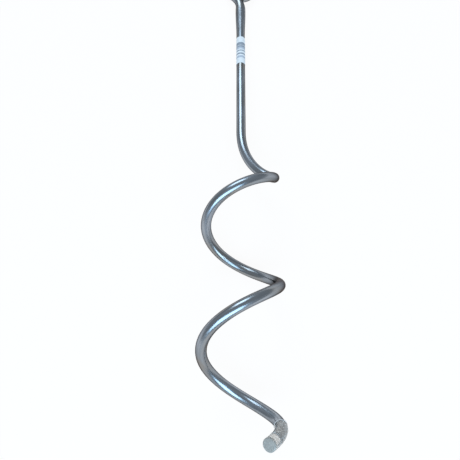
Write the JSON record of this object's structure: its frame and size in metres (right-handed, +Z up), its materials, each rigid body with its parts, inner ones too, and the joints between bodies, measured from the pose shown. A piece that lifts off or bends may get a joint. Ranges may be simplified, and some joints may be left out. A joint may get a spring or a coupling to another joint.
{
  "type": "corkscrew ground anchor",
  "caption": "Corkscrew ground anchor bent from zinc-plated round bar, with an eye, a capped tip and a paper label.",
  "frame": {"origin": "middle of the anchor's footprint, on the surface that it lies on", "axes": "+Y along the anchor towards its eye, -Y towards its tip, +Z up as it lies at rest; the eye's end lies low and the coil's axis slopes up towards the tip"},
  "size_m": [0.0634, 0.4426, 0.0671],
  "materials": {
    "zinc_plated_steel": "bright zinc plating on drawn steel bar, lightly rubbed",
    "clear_vinyl": "clear soft vinyl, glossy, slightly cloudy",
    "label_paper": "white paper label with plain grey bars"
  },
  "bodies": {
    "root": {"anchor_bar": "zinc_plated_steel", "tip_cap": "clear_vinyl", "label": "label_paper"}
  },
  "joints": []
}
